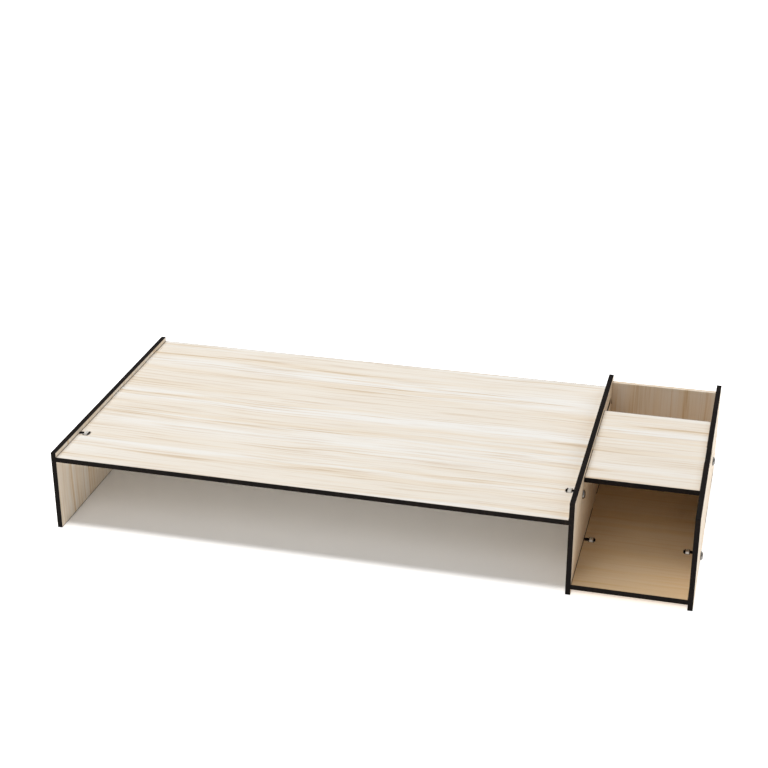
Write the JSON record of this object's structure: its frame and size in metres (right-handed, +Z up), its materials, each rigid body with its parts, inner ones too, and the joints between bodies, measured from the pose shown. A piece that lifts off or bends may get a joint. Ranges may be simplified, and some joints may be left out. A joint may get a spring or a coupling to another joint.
{
  "type": "laptop stand with side cubby",
  "caption": "Flat-pack laptop riser of thin wood-grain board with dark cut edges, an open bay below, and a side cubby with a small shelf and a phone slot.",
  "frame": {"origin": "middle of the footprint, on the surface that the stand rests on", "axes": "+X to the right as seen from the front, +Y to the back, +Z up"},
  "size_m": [0.5798, 0.271, 0.0885],
  "materials": {
    "board": "satin",
    "screw_steel": "satin",
    "nut_steel": "satin"
  },
  "bodies": {
    "root": {"left_side": "board", "partition": "board", "right_side": "board", "laptop_shelf": "board", "rear_stretcher": "board", "cubby_base": "board", "cubby_shelf": "board", "cubby_back": "board", "phone_rest": "board", "laptop_shelf_left_screw": "screw_steel", "laptop_shelf_right_screw": "screw_steel", "rear_stretcher_left_screw": "screw_steel", "rear_stretcher_right_screw": "screw_steel", "cubby_base_left_screw": "screw_steel", "cubby_base_right_screw": "screw_steel", "cubby_back_left_screw": "screw_steel", "cubby_back_right_screw": "screw_steel", "laptop_shelf_left_nut": "nut_steel", "laptop_shelf_right_nut": "nut_steel", "rear_stretcher_left_nut": "nut_steel", "rear_stretcher_right_nut": "nut_steel", "cubby_base_left_nut": "nut_steel", "cubby_base_right_nut": "nut_steel", "cubby_back_left_nut": "nut_steel", "cubby_back_right_nut": "nut_steel"}
  },
  "joints": []
}
